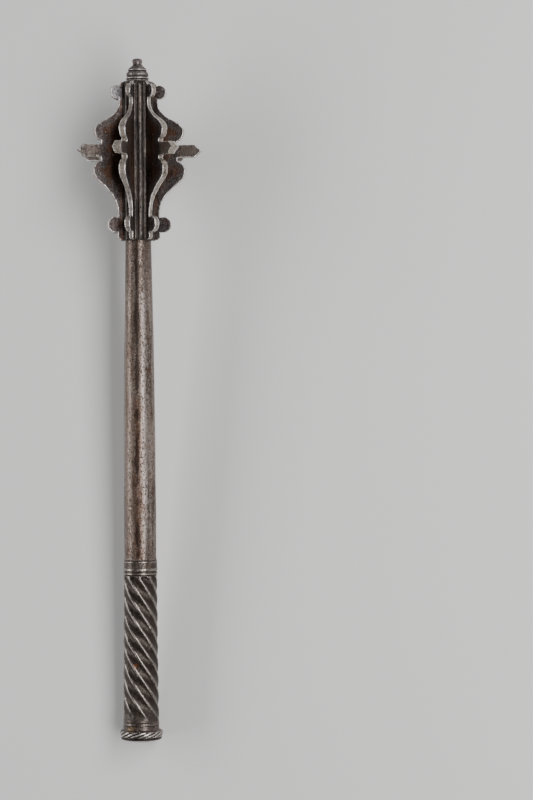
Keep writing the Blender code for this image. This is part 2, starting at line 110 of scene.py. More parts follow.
# Painted reflections of the lights on the haft: a warmer band on one side of the dark reflection, and a paler
# painted highlight on the other: direction and reach
WARM_REFLECTION_SIDE = (math.radians(-112), math.radians(48))
HIGHLIGHT_SIDE = (math.radians(-49), math.radians(19))

# Painted shade on the haft, under the head and over the collar: how far it reaches, and over what length it
# fades
HEAD_SHADE = (0.070, 0.060)
COLLAR_SHADE = (0.035, 0.030)

# Mouldings of the two collars from their feet up: width, rise, how flat each is across, and wear
FOOT_COLLAR = (
    (0.0005, -0.0005, 2, -1.0),
    (0.0007, 0.0002, 3, 0.8),
    (0.0003, -0.0005, 2, -1.0),
    (0.0007, 0.0002, 3, 0.8),
    (0.0009, -0.0005, 2, -0.9),
)
COLLAR = (
    (0.0010, -0.0005, 2, -1.0),
    (0.0011, 0.0002, 2, 0.9),
    (0.0011, 0, 4, -0.15),
    (0.0008, -0.0005, 2, -0.9),
    (0.0027, 0.0004, 2, 0.75),
    (0.0003, -0.0003, 2, -0.8),
    (0.0042, 0, 2, -0.45),
    (0.0003, -0.0003, 2, -0.8),
    (0.0012, 0.0002, 3, 0.9),
    (0.0003, 0, 2, -0.3),
    (0.0008, -0.0005, 2, -1.0),
)

# Head
FLANGES = 7
FLANGE_OFFSETS = (math.radians(0.8), math.radians(3.6), 0, 0, 0, 0, math.radians(2))
HEAD_LENGTH = 0.1416
FLANGE_ROOT_THICKNESS = 0.0029
FLANGE_TIP_THICKNESS = 0.0074
STRIP_THICKNESS = 0.0020
STRIP_GROOVE_WIDTH = 0.0009
STRIP_GROOVE_SINK = 0.0002
STRIP_FILLET_RISE = 0.0010
RIB_WIDTH = 0.0040
RIB_RISE = 0.0017
RIB_FLATNESS = 0.4
STRIP_TOP_DROP = 0.0055
STRIP_TOP_ROUND = 0.0030

# Ledge of a strip, from its groove outwards: drop under the ledge, distance from the groove, and wear
LEDGE_SECTION = (
    (0.0003, 0.0001, 0),
    (0.00005, 0.00015, 0.1),
    (-0.00005, 0.0004, 0),
    (0, 0.0007, -0.25),
    (0.0002, 0.0010, -0.3),
    (0.0002, 0.0013, -0.35),
)

# Flange outline: radii from the axis of the mace, heights from the foot of the head
FOOT_RADIUS = 0.0195
FOOT_CHAMFER = 0.0006
FOOT_SLOPE = 0.0013
LOWER_DISC_RADIUS = 0.0070
LOWER_DISC_REACH = 0.0294
LOWER_DISC_HEIGHT = 0.0138
WAIST_RADIUS = 0.0193
WAIST_HEIGHT = 0.0260
SPIKE_HEIGHT = 0.0791
SPIKE_WIDTH = 0.0110
SPIKE_REACH = 0.0573
SPIKE_SHOULDER = 0.0512
NOTCH_RADIUS = 0.0352
NOTCH_WIDTH = 0.0040
NOTCH_DEPTH = 0.0012
LOWER_LOBE_REACH = 0.0424
LOWER_LOBE_DROP = 0.0177
UPPER_LOBE_REACH = 0.0414
UPPER_LOBE_RISE = 0.0176
NECK_RADIUS = 0.0180
NECK_LENGTH = 0.0036
UPPER_DISC_RADIUS = 0.0061
UPPER_DISC_REACH = 0.0259
UPPER_DISC_DROP = 0.0097
SHOULDER_RADIUS = 0.0173
FLANGE_TOP_RADIUS = 0.0121

# Wear of the flanges: their arrises, the bare metal beside them, nicks, and a greyer brushed border
ARRIS_RADIUS = 0.00045
BEVEL_STEPS = (0.12, 0.3, 0.6, 1.0)
WORN_REACH = 0.0011
NICKS = 34
NICKED_FROM = 0.017
NICK_REACH = (0.0006, 0.0019)
NICK_DEPTH_SHARE = (0.12, 0.32)
BRUSHED_REACH = 0.0130

# Flanges, by their numbers, that differ from the rest, and how far the blows drove their spikes in
MUSHROOMED = 1
CHIPPED = 2
BLUNTED = 7
BRIGHT_DISC = 7
BRIGHT_SPIKES = (1, 2)
MUSHROOM_BLOW = 0.0013
CHIP_BLOW = 0.0021
BLUNT_BLOW = 0.0011
LESSER_BLOWS = (0.0000, 0.0005)
LESSER_SPREAD = (-0.10, 0.00)
SPIKE_LUMPS = 0.00022
SPIKE_MARGIN = 0.0001

# Finial: depth under its top, and radius
FINIAL_PROFILE = (
    (0.0000, 0.0000), (0.0001, 0.0012), (0.00025, 0.0024), (0.0006, 0.0035), (0.0012, 0.0042),
    (0.0020, 0.00455), (0.0028, 0.0046), (0.0038, 0.0043), (0.0048, 0.0040), (0.0052, 0.0040),
    (0.0060, 0.0043), (0.0070, 0.0052), (0.0080, 0.0064), (0.0090, 0.0075), (0.0099, 0.0083),
    (0.0106, 0.0087), (0.0111, 0.0085), (0.0114, 0.0079), (0.0118, 0.0078), (0.0121, 0.0084),
    (0.0126, 0.0091), (0.0134, 0.0097), (0.0143, 0.0100), (0.0150, 0.0100), (0.0156, 0.0097),
    (0.0161, 0.0092), (0.0165, 0.0091), (0.0169, 0.0093), (0.0173, 0.0099), (0.0177, 0.0103),
    (0.0182, 0.0104), (0.0186, 0.0101), (0.0189, 0.0095), (0.0192, 0.0094), (0.0195, 0.0098),
    (0.0198, 0.0102), (0.0203, 0.0103), (0.0208, 0.0101),
)

# How far out of its surroundings a turned surface stands where it is fully worn
FLUTE_CREST = 0.00019
ROPE_CREST = 0.00025
FINIAL_CREST = 0.00045

# A solid has flat sides, so the round skin over it is kept this far inside the same profile
SKIN_MARGIN = 0.00009

# Mesh density. The haft's rows are those of its foot collar, grip, collar, tapered tube and head
COLUMNS_PER_FLUTE = 18
COLUMNS_PER_STRAND = 12
FINIAL_COLUMNS = 120
HAFT_ROWS = (41, 150, 120, 180, 3)
ROPE_ROWS = 30
FINIAL_ROWS = 150
DISC_STEPS = 60
EDGE_SPACING = 0.00045
FACE_SPACING = 0.0013
INNER_RINGS = (0.0008, 0.0012)
FACE_MARGIN = 0.0017
MERGE_DISTANCE = 1e-9
WALL_ROWS = 7
STRIP_ROWS = 120

# Sizes of what shows in the iron, how metallic it is where dull and where bare, and its relief
PATCH_SIZE = 0.016
STREAK_SIZE = 0.0035
SPOT_SIZE = 0.0026
FINE_SIZE = 0.0009
GRAIN_SIZE = 0.0012
RUST_SIZE = 0.010
PIT_SIZE = 0.0014
FILING_SIZE = 0.00028
FILED_PATCH_SIZE = 0.014
LEAST_METALLIC = 0.62
MOST_METALLIC = 0.95
RELIEF_DEPTH = 0.00045

# Stage and lights
FLOOR_HALF_SIDE = 6.0
FLOOR_COLOUR = (0.74, 0.73, 0.72, 1)
FLOOR_ROUGHNESS = 0.9
SKY_COLOUR = (0.80, 0.81, 0.84, 1)
SKY_STRENGTH = 0.13
LIT_HEIGHT = 0.33
SOFTBOX_DISTANCE = 1.9
SOFTBOX_WIDTH = 0.7
SOFTBOX_LENGTH = 2.4
LEFT_SOFTBOX = (math.radians(-62), 29)
RIGHT_SOFTBOX = (math.radians(42), 49)

# Camera: what it aims at on the axis, from where about the mace, and how far right of the mace it looks
AIM_HEIGHT = 0.304
CAMERA_SIDE = math.radians(20.2)
CAMERA_DISTANCE = 2.147
CAMERA_ROLL = math.radians(0.36)
LENS = 108
SENSOR = 36
PHOTO_HEIGHT = 800
PIXELS_RIGHT_OF_MACE = 127.1

# Heights along the mace, worked out from the sizes above
ROPE_FOOT = DOME_RISE + EDGE_HEIGHT
ROPE_TOP = ROPE_FOOT + ROPE_HEIGHT
BASE_HEIGHT = ROPE_TOP + FLARE_HEIGHT
HAFT_FOOT = BASE_HEIGHT + FIT_GAP
GRIP_FOOT = HAFT_FOOT + FOOT_COLLAR_HEIGHT
GRIP_TOP = GRIP_FOOT + GRIP_LENGTH
COLLAR_TOP = GRIP_TOP + COLLAR_HEIGHT
HEAD_FOOT = COLLAR_TOP + HAFT_LENGTH
HEAD_TOP = HEAD_FOOT + HEAD_LENGTH
FINIAL_FOOT = HEAD_TOP + FIT_GAP
HEAD_INNER_RADIUS = HAFT_UPPER_RADIUS + FIT_GAP
SPIKE_LOW = SPIKE_HEIGHT - SPIKE_WIDTH / 2
SPIKE_HIGH = SPIKE_HEIGHT + SPIKE_WIDTH / 2
NOTCH_MOUTH = NOTCH_RADIUS + NOTCH_DEPTH


# Where the mace lies


def corners_of(node):
    """A solid's corners, each once."""
    points = np.array([vertex.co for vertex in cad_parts[node].data.vertices])
    return np.unique(points.round(6), axis=0)


def mace_place():
    """The matrix from the mace's own frame to the floor's, read from the solids of the haft and base."""
    haft = corners_of("haft")
    middle = haft.mean(0)
    along = np.linalg.svd(haft - middle, full_matrices=False)[2][0]
    along *= np.sign(along[1])
    foot = middle + along * ((corners_of("base_cap") - middle) @ along).min()
    tilt = math.atan2(along[2], along[1])
    return Matrix.Translation(Vector(foot)) @ Matrix.Rotation(tilt - math.pi / 2, 4, "X")


MACE = mace_place()


# Mesh tools


def ripple(points, wavelength, seed, waves=16):
    """A smooth random field, mostly from -1 to 1: plane waves of about that length, added up."""
    draw = np.random.default_rng(seed)
    directions = draw.normal(size=(waves, 3))
    directions /= np.linalg.norm(directions, axis=1, keepdims=True)
    turns = 2 * math.pi / (wavelength * draw.uniform(0.7, 1.4, waves))
    phases = draw.uniform(0, 2 * math.pi, waves)
    field = np.sin(points @ (directions * turns[:, None]).T + phases).sum(-1)
    return field * math.sqrt(2 / waves) * 0.6


def about_axis(radius, angle, height):
    """Points from arrays of their radii, angles and heights."""
    return np.stack(np.broadcast_arrays(radius * np.cos(angle), radius * np.sin(angle), height), -1)


def turned_from(angle, direction):
    """The angle between each point's direction and the one given."""
    return np.abs((angle - direction + math.pi) % (2 * math.pi) - math.pi)


def full_turn(columns):
    """Evenly spaced angles round the axis."""
    return np.arange(columns) * 2 * math.pi / columns


def across_share(angle, count):
    """Place of each angle in its share of a turn that is cut into count: 0 in the middle, 1 at the ends."""
    return np.abs(2 * (angle * count / (2 * math.pi) % 1) - 1)


def bezier(start, first, second, end, steps):
    """Points on a cubic curve, after its start and up to its end."""
    t = np.linspace(0, 1, steps + 1)[1:, None]
    s = 1 - t
    weights = (s**3, 3 * s * s * t, 3 * s * t * t, t**3)
    return sum(weight * np.array(corner) for weight, corner in zip(weights, (start, first, second, end)))


def numbered(rows, columns):
    """The numbers of points that are laid out in rows."""
    return np.arange(rows * columns).reshape(rows, columns)


def ring_faces(grid):
    """Faces between rings of points, from the points' numbers, ring by ring."""
    beside = np.roll(grid, -1, axis=1)
    return np.stack([grid[:-1], beside[:-1], beside[1:], grid[1:]], -1).reshape(-1, 4).tolist()


def standing_out(radius, rows, columns, full):
    """How far each point of a turned piece is out of its surroundings: 1 on a crest, -1 in a hollow."""
    around = sum(np.roll(radius, shift, axis=1) for shift in range(-columns, columns + 1))
    padded = np.pad(around / (2 * columns + 1), ((rows, rows), (0, 0)), mode="edge")
    level = sum(padded[shift:shift + len(radius)] for shift in range(2 * rows + 1)) / (2 * rows + 1)
    return np.clip((radius - level) / full, -1, 1)


def blot(points, spot):
    """1 at a spot on the skin, and 0 from its reach outwards."""
    height, direction, reach = spot
    radius = np.hypot(points[..., 0], points[..., 1])
    heart = about_axis(radius, direction, height)
    return np.clip(1.3 - 1.3 * np.linalg.norm(points - heart, axis=-1) / reach, 0, 1)


def add_object(name, data):
    made = bpy.data.objects.new(name, data)
    bpy.context.scene.collection.objects.link(made)
    return made


def add_piece(name, node, slot, points, faces, material, **marks):
    """A piece that stands for a solid. Its marks are kept on its points, for the material to read."""
    mesh = bpy.data.meshes.new(name)
    mesh.from_pydata(points.tolist(), [], faces)
    mesh.transform(MACE)
    for mark, values in marks.items():
        mesh.attributes.new(mark, "FLOAT", "POINT").data.foreach_set("value", values.astype(np.float32))
    mesh.shade_smooth()
    mesh.materials.append(material)
    piece = add_object(name, mesh)
    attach(piece, "root")
    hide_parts(node)


def add_turned(name, node, radius, angle, height, ends, material, **marks):
    """A piece from rings about the axis, from its foot up, closed by points on the axis at both ends."""
    rings = about_axis(radius, angle, height)
    shape = rings.shape[:2]
    grid = numbered(*shape)
    low, high = grid[0].tolist(), grid[-1].tolist()
    faces = ring_faces(grid)
    faces += [(grid.size, b, a) for a, b in zip(low, low[1:] + low[:1])]
    faces += [(grid.size + 1, a, b) for a, b in zip(high, high[1:] + high[:1])]
    points = np.vstack([rings.reshape(-1, 3), [(0, 0, end) for end in ends]])
    marks = {mark: np.append(np.broadcast_to(values, shape), [0, 0]) for mark, values in marks.items()}
    add_piece(name, node, node, points, faces, material, **marks)


# Materials


class Finish:
    """A material, with short names for the nodes that the iron needs."""

    def __init__(self, name):
        self.material = bpy.data.materials.new(name)
        self.material.use_nodes = True
        self.tree = self.material.node_tree
        self.surface = self.tree.nodes["Principled BSDF"]
        to_mace = MACE.inverted()
        place = self.add("ShaderNodeMapping", Vector=self.add("ShaderNodeTexCoord").outputs["Object"])
        place.inputs["Location"].default_value = to_mace.translation
        place.inputs["Rotation"].default_value = to_mace.to_euler()
        self.place = place.outputs[0]

    def add(self, kind, settings=None, **inputs):
        """A new node, with its inputs by name, where _ stands for a space."""
        node = self.tree.nodes.new(kind)
        for name, value in (settings or {}).items():
            setattr(node, name, value)
        for name, value in inputs.items():
            self.put(value, node.inputs[name.replace("_", " ")])
        return node

    def put(self, value, socket):
        """Links a value to a socket if it is a node's output, and writes it there if it is a constant."""
        if isinstance(value, bpy.types.NodeSocket):
            self.tree.links.new(value, socket)
        else:
            socket.default_value = value

    def reckon(self, operation, *values):
        """The outcome of a Math node."""
        node = self.add("ShaderNodeMath", {"operation": operation})
        for value, socket in zip(values, node.inputs):
            self.put(value, socket)
        return node.outputs[0]

    def times(self, first, second):
        return self.reckon("MULTIPLY", first, second)

    def total(self, *terms, offset=0):
        """Values, each times its weight, added to an offset."""
        whole = offset
        for value, weight in terms:
            whole = self.reckon("MULTIPLY_ADD", value, weight, whole)
        return whole

    def noise(self, size, detail=3, along=1):
        """Noise with spots of about that size, drawn out along the mace that many times."""
        scale = self.add("ShaderNodeVectorMath", {"operation": "MULTIPLY"})
        self.put(self.place, scale.inputs[0])
        scale.inputs[1].default_value = (1 / size, 1 / size, 1 / (size * along))
        noise = self.add("ShaderNodeTexNoise", Vector=scale.outputs[0], Scale=1, Detail=detail)
        return noise.outputs["Fac"]

    def band(self, value, low, high):
        """0 where the value is under low, 1 where it is over high, and smooth between."""
        settings = {"interpolation_type": "SMOOTHSTEP"}
        node = self.add("ShaderNodeMapRange", settings, Value=value, From_Min=low, From_Max=high)
        return node.outputs["Result"]

    def mark(self, name):
        return self.add("ShaderNodeAttribute", {"attribute_name": name}).outputs["Fac"]

    def mix(self, share, first, second):
        """Blends two colours. Node sockets 6 and 7 of Mix are its colours, and output 2 is the blend."""
        node = self.add("ShaderNodeMix", {"data_type": "RGBA"}, Factor=share)
        self.put(first, node.inputs[6])
        self.put(second, node.inputs[7])
        return node.outputs[2]


def rgb(red, green, blue):
    """A colour given as it looks on screen, in 0 to 255, as a node wants it."""
    return tuple(((part / 255 + 0.055) / 1.055) ** 2.4 for part in (red, green, blue)) + (1,)


def iron(
    name, dark, body, light, rust, edge, rust_from, light_share, scratched, crest_from,
    zones=(), roughness=0.20, grain=0,
):
    """Old iron: patina in patches, spots of rust, filing marks, and bright worn crests and edges.

    The first five values are its colours. A higher rust_from or crest_from leaves less rust or bright
    metal. The shares of light spots, filing marks and light grains are light_share, scratched and grain,
    and the grains keep to where the mark named brushed is high. Each zone is a mark on the points, the
    colour that takes over where it is high, and how much that colour covers.
    """
    finish = Finish(name)
    band, mix, noise, times, total = finish.band, finish.mix, finish.noise, finish.times, finish.total
    patches = noise(PATCH_SIZE, 4, along=3)
    streaks = noise(STREAK_SIZE, 4, along=14)
    fine = noise(FINE_SIZE, 5, along=1.6)
    spots = noise(SPOT_SIZE, 4, along=1.4)
    pits = noise(PIT_SIZE, 3, along=1.3)
    filing = noise(FILING_SIZE, 2, along=55)
    ragged = total((spots, 1), (fine, 1), offset=-1)
    worn = finish.mark("worn")

    # Patina, and the zones over it; on the haft some zones are painted reflections, a painted highlight and
    # painted shade
    tone = total((patches, 0.55), (streaks, 0.3), (fine, 0.15))
    colour = mix(band(tone, 0.40, 0.58), dark, body)
    lit = band(total((spots, 0.5), (streaks, 0.5)), 0.46, 0.62)
    colour = mix(times(lit, light_share), colour, light)
    for mark, zone_colour, cover in zones:
        zone = band(total((ragged, 1.4), (finish.mark(mark), 1)), 0.35, 0.65)
        colour = mix(times(zone, cover), colour, zone_colour)
    if grain:
        grains = times(band(noise(GRAIN_SIZE, 2), 0.54, 0.64), finish.mark("brushed"))
        colour = mix(times(grains, grain), colour, light)

    # Rust and filing marks
    rusty = times(band(noise(RUST_SIZE, 5, along=1.8), rust_from, rust_from + 0.10), band(fine, 0.36, 0.52))
    colour = mix(times(rusty, 0.85), colour, rust)
    filed = band(noise(FILED_PATCH_SIZE, 2, along=2.5), 0.42, 0.62)
    scratches = times(times(band(filing, 0.56, 0.70), filed), scratched)
    colour = mix(scratches, colour, light)

    # Dark pits and hollows, and bright crests
    pitted = times(band(times(pits, -1), -0.45, -0.37), 0.75)
    sunk = times(band(times(worn, -1), 0.08, 0.8), 0.85)
    deep = tuple(0.35 * part for part in dark[:3]) + (1,)
    colour = mix(finish.reckon("MAXIMUM", pitted, sunk), colour, deep)
    crest = times(worn, total((patches, 1.1), offset=0.35))
    crest = band(total((crest, 1), (ragged, 0.8)), crest_from, crest_from + 0.35)
    colour = mix(crest, colour, edge)
    finish.put(colour, finish.surface.inputs["Base Color"])

    # Gloss and relief
    rubbed = total((crest, 1), (scratches, 0.6))
    metal = finish.add("ShaderNodeMapRange", Value=rubbed, To_Min=LEAST_METALLIC, To_Max=MOST_METALLIC)
    finish.put(metal.outputs[0], finish.surface.inputs["Metallic"])
    rough = total((fine, 0.22), (streaks, 0.10), (rubbed, -0.08), (pitted, 0.25), offset=roughness)
    finish.put(rough, finish.surface.inputs["Roughness"])
    relief = total((fine, 0.45), (spots, 0.55), (filing, 0.25 * scratched), (pitted, -0.5))
    bump = finish.add("ShaderNodeBump", Height=relief, Strength=0.5, Distance=RELIEF_DEPTH)
    finish.put(bump.outputs[0], finish.surface.inputs["Normal"])
    return finish.material


def haft_iron():
    return iron(
        "haft_iron",
        dark=rgb(72, 58, 48),
        body=rgb(117, 102, 92),
        light=rgb(153, 143, 138),
        rust=rgb(78, 48, 32),
        edge=rgb(136, 127, 121),
        rust_from=0.60, light_share=0.55, scratched=0.35, crest_from=0.20,
        grain=0.55,
        zones=(
            ("grip", rgb(36, 31, 28), 0.82),
            # A painted reflection band of a light, warmer in tone
            ("warm_reflection", rgb(98, 81, 67), 0.55),
            # A paler painted highlight band, the reflection of a light
            ("painted_highlight", rgb(152, 144, 142), 0.5),
            # Painted shade under the head and over the collar
            ("painted_shade", rgb(70, 54, 46), 0.7),
            ("brown", rgb(100, 68, 48), 0.6),
            # A painted dark reflection down the middle of the haft
            ("dark_reflection", rgb(46, 29, 21), 0.85),
            ("spot", rgb(150, 84, 44), 0.8),
        ),
    )


def base_iron():
    return iron(
        "base_iron",
        dark=rgb(46, 38, 36),
        body=rgb(84, 73, 70),
        light=rgb(124, 114, 110),
        rust=rgb(86, 62, 44),
        edge=rgb(190, 182, 176),
        rust_from=0.62, light_share=0.5, scratched=0.2, crest_from=0.25,
        zones=(("tint", rgb(106, 84, 50), 0.5),),
    )


def finial_iron():
    return iron(
        "finial_iron",
        dark=rgb(62, 53, 51),
        body=rgb(108, 99, 98),
        light=rgb(154, 146, 145),
        rust=rgb(84, 62, 54),
        edge=rgb(178, 169, 167),
        rust_from=0.60, light_share=0.5, scratched=0.2, crest_from=0.35,
        roughness=0.27,
    )


def flange_iron():
    return iron(
        "flange_iron",
        dark=rgb(40, 25, 17),
        body=rgb(92, 60, 40),
        light=rgb(118, 112, 110),
        rust=rgb(76, 50, 42),
        edge=rgb(238, 232, 228),
        rust_from=0.60, light_share=0.25, scratched=0.8, crest_from=0.55,
        grain=0.9,
        zones=(
            ("brushed", rgb(68, 66, 67), 0.75),
            ("disc", rgb(150, 146, 150), 0.85),
            ("side", rgb(184, 172, 160), 0.80),
            ("spike", rgb(106, 94, 86), 0.8),
        ),
    )


def strip_iron():
    return iron(
        "strip_iron",
        dark=rgb(40, 33, 29),
        body=rgb(66, 57, 52),
        light=rgb(100, 92, 87),
        rust=rgb(66, 46, 36),
        edge=rgb(140, 132, 128),
        rust_from=0.60, light_share=0.45, scratched=0.8, crest_from=0.62,
    )


# The haft, with its grip


def moulded(heights, foot, mouldings):
    """How far mouldings stacked from foot up stand out of a plain cylinder, and their wear."""
    out = np.zeros_like(heights)
    worn = np.zeros_like(heights)
    for width, rise, flatness, wear in mouldings:
        across = 2 * (heights - foot) / width - 1
        swell = np.sqrt(np.clip(1 - np.abs(across) ** flatness, 0, 1))
        out += rise * swell
        worn += wear * swell
        foot += width
    return out, worn


def haft_profile():
    """Heights of the haft's rings from its foot up, with their radii and wear but for the flutes."""
    bounds = (HAFT_FOOT, GRIP_FOOT, GRIP_TOP, COLLAR_TOP, HEAD_FOOT, HEAD_TOP)
    stretches = zip(bounds, bounds[1:], HAFT_ROWS)
    heights = np.concatenate([np.linspace(foot, top, rows + 1)[:-1] for foot, top, rows in stretches])
    heights = np.append(heights, HEAD_TOP)
    radius = np.interp(heights, (GRIP_FOOT, GRIP_TOP), (GRIP_LOWER_RADIUS, GRIP_UPPER_RADIUS))
    share = np.clip((heights - COLLAR_TOP) / HAFT_LENGTH, 0, 1)
    tapered = HAFT_LOWER_RADIUS - (HAFT_LOWER_RADIUS - HAFT_UPPER_RADIUS) * share**HAFT_TAPER
    radius = np.where(heights > COLLAR_TOP, tapered, radius)
    foot_out, foot_worn = moulded(heights, HAFT_FOOT, FOOT_COLLAR)
    collar_out, collar_worn = moulded(heights, GRIP_TOP, COLLAR)
    radius += foot_out + collar_out
    return heights[:, None], radius[:, None], (foot_worn + collar_worn)[:, None]


def flute_depth(angle, height):
    """How deep the flutes are cut, between narrow ridges.

    They are cut off short at the top of the grip, and run out slowly at its foot.
    """
    from_top = np.clip((GRIP_TOP - height) / FLUTE_TOP_LENGTH, 0, 1)
    from_foot = np.clip((height - GRIP_FOOT) / FLUTE_FOOT_LENGTH, 0, 1)
    width = 0.58 + 0.35 * from_top
    hollow = np.clip(1 - across_share(angle, FLUTES) / width, 0, 1)
    deep = np.clip(3 * from_top, 0, 1) ** 0.5 * from_foot**0.7
    return FLUTE_DEPTH * deep * (1 - (1 - hollow) ** 2)


def toward(turn, side):
    """How near each point is to a side of the haft, fading out to nothing."""
    direction, reach = side
    return 0.6 * np.clip(1.5 - 1.5 * turned_from(turn, direction) / reach, 0, 1)


def dark_reflection_marks(even, turn, height):
    """Where the haft's painted dark reflection is, and where the iron round its broken stretch is brown."""
    off = np.abs(turned_from(turn, DARK_REFLECTION_DIRECTION) + 0.05 * ripple(even, 0.030, 14))
    blots = 0.42 * ripple(even * (1, 1, 0.6), 0.012, 15)
    whole = np.clip((height - DARK_REFLECTION_FOOT) / DARK_REFLECTION_FADE, 0, 1)
    dark_reflection = 0.85 - 0.45 * off / DARK_REFLECTION_HALF_WIDTH + (1 - whole) * (blots - 0.24)
    brown = (0.85 - 0.45 * off / BROWN_HALF_WIDTH) * (1 - whole)
    on_haft = height > COLLAR_TOP
    return [np.where(on_haft, np.clip(share, 0, 1), 0) for share in (dark_reflection, brown)]


def haft_zones(even, turn, height):
    """Marks of the haft's colours, painted reflections and painted shade among them, at points given by where
    they would be on an even haft.
    """
    on_haft = height > COLLAR_TOP
    in_collar = (height >= GRIP_TOP) & (height < COLLAR_TOP)
    fluted = (height > GRIP_FOOT) & (height < GRIP_TOP)
    dark_reflection, brown = dark_reflection_marks(even, turn, height)
    reach, fade = HEAD_SHADE
    under_head = np.clip((height - HEAD_FOOT + reach) / fade, 0, 1)
    reach, fade = COLLAR_SHADE
    over_collar = np.clip((COLLAR_TOP + reach - height) / fade, 0, 1) * on_haft
    return {
        "brushed": on_haft * (1 - 0.9 * np.clip(2 * dark_reflection - 0.4, 0, 1)),
        "grip": np.where(in_collar, 0.55, fluted),
        "warm_reflection": on_haft * toward(turn, WARM_REFLECTION_SIDE),
        "painted_highlight": on_haft * toward(turn, HIGHLIGHT_SIDE) * (1 - under_head),
        "painted_shade": 0.85 * under_head + 0.66 * over_collar,
        "brown": brown,
        "dark_reflection": dark_reflection,
    }


def make_haft():
    height, plain, moulding_wear = haft_profile()
    angle = full_turn(FLUTES * COLUMNS_PER_FLUTE)
    radius = plain - flute_depth(angle, height)
    worn = standing_out(radius, rows=3, columns=4, full=FLUTE_CREST)
    worn *= np.clip((height - GRIP_FOOT - 0.002) / (1.4 * FLUTE_FOOT_LENGTH), 0, 1) * (height < GRIP_TOP)
    worn += moulding_wear

    # The flutes climb round the grip and wander a little, and the whole tube is not quite round
    climbed = np.clip(height - GRIP_FOOT, 0, GRIP_LENGTH)
    turn = angle - 2 * math.pi * climbed / FLUTE_PITCH
    even = about_axis(plain, turn, height)
    turn = turn + FLUTE_WANDER * ripple(even, 0.030, 11)
    rougher = np.where((height > GRIP_FOOT) & (height < GRIP_TOP), 1.6, 0.6)
    radius = radius + HAFT_DENTS * ripple(even * (1, 1, 0.4), 0.016, 12)
    radius = radius + HAFT_ROUGHNESS * ripple(even, 0.004, 13) * rougher
    radius = np.where(height > HEAD_FOOT - 0.0005, np.minimum(radius, HAFT_UPPER_RADIUS), radius)

    marks = {"worn": worn, **haft_zones(even, turn, height)}
    marks["spot"] = blot(about_axis(radius, turn, height), RUST_SPOT)
    add_turned("haft_shaft", "haft", radius, turn, height, (HAFT_FOOT, HEAD_TOP), haft_iron(), **marks)


# The base cap


def base_profile():
    """(radius, height) points of the base cap from the middle of its end, round its rim and up."""
    groove = [(EDGE_RADIUS - drop, ROPE_FOOT - low) for drop, low in RIM_GROOVE]
    share = np.linspace(0, 1, ROPE_ROWS + 1)[1:, None]
    plain = EDGE_RADIUS + (ROPE_TOP_RADIUS - EDGE_RADIUS) * share
    rope = np.hstack([plain + ROPE_BULGE * np.sin(math.pi * share), ROPE_FOOT + ROPE_HEIGHT * share])
    bend = (GRIP_LOWER_RADIUS, ROPE_TOP + 0.25 * FLARE_HEIGHT)
    flare = bezier((ROPE_TOP_RADIUS, ROPE_TOP), bend, bend, (GRIP_LOWER_RADIUS, BASE_HEIGHT), 24)
    top = [(0.5 * GRIP_LOWER_RADIUS, BASE_HEIGHT)]
    return np.vstack([bezier(*DOME_CURVE, 18), bezier(*RIM_CURVE, 10), groove, rope, flare, top])


def make_base_cap():
    plain, height = np.split(base_profile(), 2, axis=1)
    angle = full_turn(ROPE_STRANDS * COLUMNS_PER_STRAND)
    climbed = np.clip((height - ROPE_FOOT) / ROPE_HEIGHT, 0, 1)
    on_rope = (climbed > 0) & (climbed < 1)
    ends = np.clip(6 * np.minimum(climbed, 1 - climbed), 0, 1) ** 0.5
    radius = plain - ROPE_DEPTH * on_rope * ends * across_share(angle, ROPE_STRANDS) ** 2.4
    worn = standing_out(radius, rows=2, columns=4, full=ROPE_CREST)
    worn *= np.clip((BASE_HEIGHT - 0.0012 - height) / 0.0012, 0, 1)
    worn = np.where(height < ROPE_FOOT, -0.9, worn)
    line = np.clip(1 - np.abs(height - BRIGHT_LINE_HEIGHT) / BRIGHT_LINE_REACH, -0.5, 0.8)
    worn = np.where(height < DULL_END_HEIGHT, line, worn)

    turn = angle + ROPE_TURN * climbed
    even = about_axis(plain, turn, height)
    dents = 0.00006 * ripple(even, 0.003, 21) + 0.00012 * ripple(even, 0.012, 22)
    radius = np.minimum(radius + dents * (radius > 0.002), plain - SKIN_MARGIN)
    tint = blot(even, GOLDEN_TINT) * (height > ROPE_TOP)
    ends = (0, BASE_HEIGHT)
    add_turned("roped_cap", "base_cap", radius, turn, height, ends, base_iron(), worn=worn, tint=tint)


# The finial


def make_finial():
    drop, radius = np.array(FINIAL_PROFILE).T
    length = np.concatenate([[0], np.cumsum(np.hypot(np.diff(drop), np.diff(radius)))])
    steps = np.linspace(0, length[-1], FINIAL_ROWS)[:0:-1]
    radius = np.interp(steps, length, radius)[:, None]
    height = (FINIAL_FOOT + drop[-1] - np.interp(steps, length, drop))[:, None]
    angle = full_turn(FINIAL_COLUMNS)
    rings = radius + 0 * angle
    worn = standing_out(rings, rows=7, columns=2, full=FINIAL_CREST)
    even = about_axis(rings, angle, height)
    near_foot = np.clip(1 - (height - FINIAL_FOOT) / 0.003, 0, 1)
    rings = rings + 0.00008 * ripple(even, 0.0035, 31) + 0.00020 * near_foot * ripple(even, 0.006, 32)
    ends = (FINIAL_FOOT, FINIAL_FOOT + drop[-1])
    add_turned("finial_button", "finial", rings, angle, height, ends, finial_iron(), worn=worn)


# The outline of a flange


def disc_arc(centre, radius, start_radius, end_radius):
    """The outer edge of a disc, from start_radius below its centre to end_radius above it."""
    start = -math.acos((start_radius - centre[0]) / radius)
    end = math.acos((end_radius - centre[0]) / radius)
    turn = np.linspace(start, end, DISC_STEPS)
    return np.stack([centre[0] + radius * np.cos(turn), centre[1] + radius * np.sin(turn)], -1)


